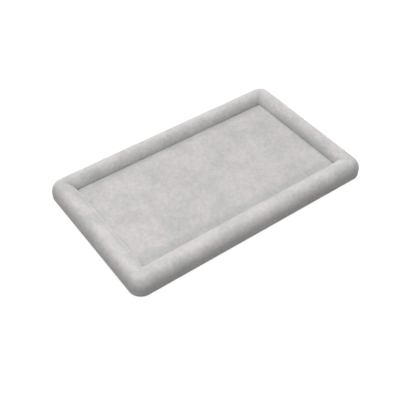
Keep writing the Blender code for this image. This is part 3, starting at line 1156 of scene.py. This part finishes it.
def room_world(stage):
    """White to the camera, and a dim even light to the tray."""
    shading = Shading(bpy.data.worlds.new("stage_room"))
    shading.tree.nodes.remove(shading.tree.nodes["Background"])
    dim, white = (
        shading.node("Background", {"Color": (1, 1, 1, 1), "Strength": strength})[0]
        for strength in (stage.room_light, 1.0))
    chosen = shading.node("MixShader", {0: seen_by_camera(shading), 1: dim, 2: white})[0]
    return shading.done({"Surface": chosen}, last="World Output")


def direction(azimuth, elevation):
    """The unit vector at an azimuth, clockwise from the back, and an elevation.

    Across it is sine x cosine, to the back cosine x cosine, and up the elevation's sine.
    """
    return Vector((
        math.sin(azimuth) * math.cos(elevation), math.cos(azimuth) * math.cos(elevation),
        math.sin(elevation)))


def aimed(name, data, place, back):
    """A lamp or camera at a place, with its back turned in a direction."""
    made = bpy.data.objects.new(name, data)
    made.location = place
    made.rotation_mode = "QUATERNION"
    made.rotation_quaternion = back.to_track_quat("Z", "Y")
    bpy.context.scene.collection.objects.link(made)
    return made


PLAIN, FAINTLY_COOL = (1.0, 1.0, 1.0), (0.97, 1.0, 0.99)

# Soft lights round the tray: azimuth clockwise from the back and elevation in degrees, distance
# and size in metres, power in watts, and colour
LIGHTS = {
    "back": (22.5, 35, 1.0, 0.5, 3.64, PLAIN),
    "key": (60, 58, 1.0, 0.5, 2.31, PLAIN),
    "top": (0, 82, 1.0, 0.5, 3.81, PLAIN),
    "front": (180, 38, 0.4, 0.2, 0.33, FAINTLY_COOL),
    "left": (270, 38, 0.4, 0.2, 0.39, FAINTLY_COOL),
}


def soft_light(name, azimuth, elevation, distance, size, power, colour):
    """A square lamp that faces the tray from a direction."""
    data = bpy.data.lights.new(name, "AREA")
    data.size = size
    data.energy = power
    data.color = colour
    back = direction(math.radians(azimuth), math.radians(elevation))
    aimed(name, data, back * distance, back).visible_camera = False


def photo_camera(stage):
    """The camera, at the photograph's angle."""
    data = bpy.data.cameras.new("stage_camera")
    data.lens = stage.lens
    data.sensor_width = 36.0
    back = direction(stage.azimuth, stage.elevation) * Vector((1, -1, 1))
    return aimed("stage_camera", data, Vector(stage.target) + back * stage.distance, back)


# Half the stage floor's width, and its height, just under what the tray stands on
FLOOR_REACH = 3.0
FLOOR_HEIGHT = -0.02 * MM


class DISPLAY_TRAY_OT_stage(bpy.types.Operator):
    """Camera, soft lights and the pale floor"""

    bl_idname = "object.display_tray_stage"
    bl_label = "Stage"

    def execute(self, context):
        scene = context.scene
        stage = scene.display_tray_stage
        scene.camera = photo_camera(stage)
        mesh = bpy.data.meshes.new("stage_floor")
        corners = [(FLOOR_REACH * x, FLOOR_REACH * y, FLOOR_HEIGHT)
                   for x, y in ((-1, -1), (1, -1), (1, 1), (-1, 1))]
        mesh.from_pydata(corners, [], [(0, 1, 2, 3)])
        mesh.materials.append(floor_material(stage))
        floor = bpy.data.objects.new("stage_floor", mesh)
        scene.collection.objects.link(floor)
        for name, settings in LIGHTS.items():
            soft_light("stage_" + name, *settings)
        scene.world = room_world(stage)
        scene.view_settings.view_transform = "Standard"
        return {"FINISHED"}


OPERATORS = (
    DISPLAY_TRAY_OT_boards,
    DISPLAY_TRAY_OT_padding,
    DISPLAY_TRAY_OT_rim_cover,
    DISPLAY_TRAY_OT_floor_cover,
    DISPLAY_TRAY_OT_lining,
    DISPLAY_TRAY_OT_stage,
)

GROUPS = {
    "display_tray_sizes": TraySizes,
    "display_tray_folds": TrayFolds,
    "display_tray_finish": TrayFinish,
    "display_tray_stage": TrayStage,
}


class DISPLAY_TRAY_PT_panel(bpy.types.Panel):
    """The tray's values and its operators"""

    bl_label = "Display Tray"
    bl_idname = "DISPLAY_TRAY_PT_panel"
    bl_space_type = "VIEW_3D"
    bl_region_type = "UI"
    bl_category = "Display Tray"

    def draw(self, context):
        for attribute, group in GROUPS.items():
            box = self.layout.box()
            for name in group.__annotations__:
                box.prop(getattr(context.scene, attribute), name)
        for operator in OPERATORS:
            self.layout.operator(operator.bl_idname)


def register():
    """Adds the classes, and the values to the scene."""
    for made in (*GROUPS.values(), *OPERATORS, DISPLAY_TRAY_PT_panel):
        bpy.utils.register_class(made)
    for attribute, group in GROUPS.items():
        setattr(bpy.types.Scene, attribute, bpy.props.PointerProperty(type=group))


def unregister():
    """Takes away what register adds."""
    for attribute in GROUPS:
        delattr(bpy.types.Scene, attribute)
    for made in (DISPLAY_TRAY_PT_panel, *reversed(OPERATORS), *GROUPS.values()):
        bpy.utils.unregister_class(made)


def main():
    """Builds every piece and the stage."""
    register()
    for operator in OPERATORS:
        area, name = operator.bl_idname.split(".")
        getattr(getattr(bpy.ops, area), name)()


if __name__ == "__main__":
    main()
